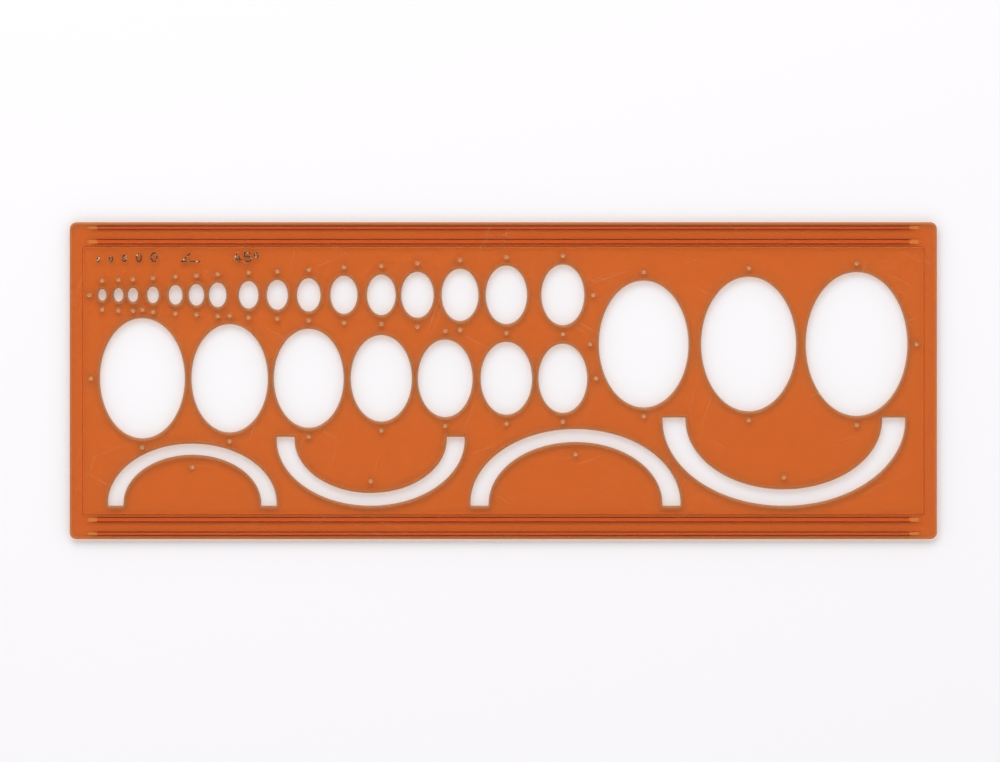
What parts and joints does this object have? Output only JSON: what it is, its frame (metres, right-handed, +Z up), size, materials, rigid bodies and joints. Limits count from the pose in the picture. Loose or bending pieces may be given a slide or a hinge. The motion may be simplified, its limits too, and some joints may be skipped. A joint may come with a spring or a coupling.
{
  "type": "ellipse template",
  "caption": "Transparent orange drawing template: flat plate with graduated elliptical openings, half-ellipse slots, axis pinholes and ribs that lift it off the paper.",
  "frame": {"origin": "centre of the plate's length and width, on the surface that its ribs rest on", "axes": "+X along the plate, so that the legend reads left to right; +Y across the plate, towards the legend; +Z up out of the engraved face"},
  "size_m": [0.26, 0.095, 0.002],
  "materials": {
    "orange_plate": "clear moulded acrylic tinted orange, polished faces",
    "legend_ink": "dried dark ink, worn"
  },
  "bodies": {
    "root": {"template_plate": "orange_plate", "ink_ellipse_sign_1": "legend_ink", "ink_ellipse_sign_2": "legend_ink", "ink_ellipse_sign_3": "legend_ink", "ink_ellipse_sign_4": "legend_ink", "ink_ellipse_sign_5": "legend_ink", "ink_angle_sign": "legend_ink", "ink_figure_4": "legend_ink", "ink_figure_5": "legend_ink", "ink_degree_sign": "legend_ink"}
  },
  "joints": []
}
